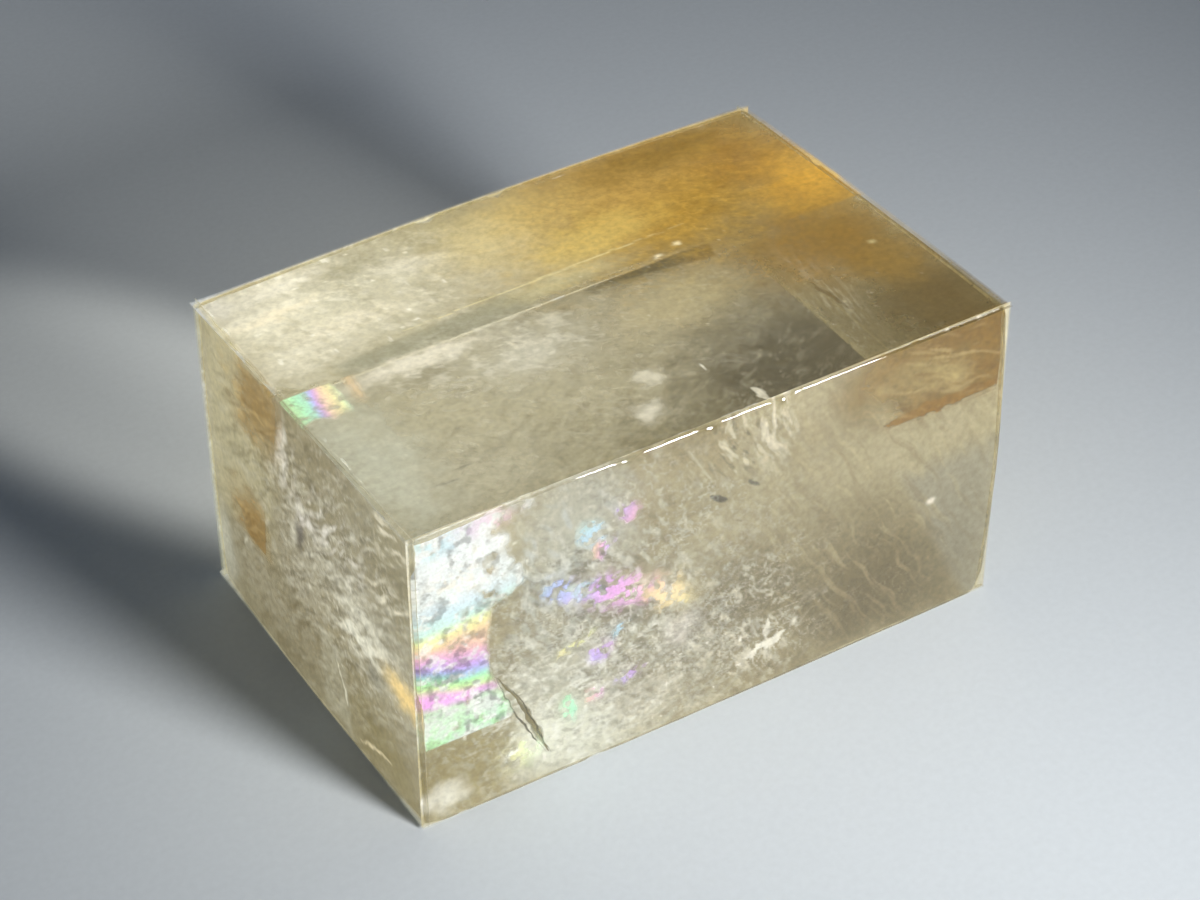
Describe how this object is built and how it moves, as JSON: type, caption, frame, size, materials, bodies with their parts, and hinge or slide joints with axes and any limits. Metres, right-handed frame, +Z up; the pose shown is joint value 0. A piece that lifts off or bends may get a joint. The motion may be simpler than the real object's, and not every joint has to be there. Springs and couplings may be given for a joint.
{
  "type": "calcite specimen",
  "caption": "Clear honey-coloured calcite rhomb, a slanted block with polished, slightly domed faces and lightly chipped edges, for display on a shelf or desk.",
  "frame": {"origin": "under the middle of the crystal's box, on the surface that its base rests on", "axes": "+X runs along the long edges from left to right, +Y away from the front face, +Z up from the base to the top face"},
  "size_m": [0.0674, 0.0448, 0.0317],
  "materials": {
    "honey_calcite": "clear pale honey crystal with hand-polished, slightly domed faces, worn edges, cloudy veils and a rainbow fracture inside"
  },
  "bodies": {
    "root": {"calcite_rhomb": "honey_calcite"}
  },
  "joints": []
}
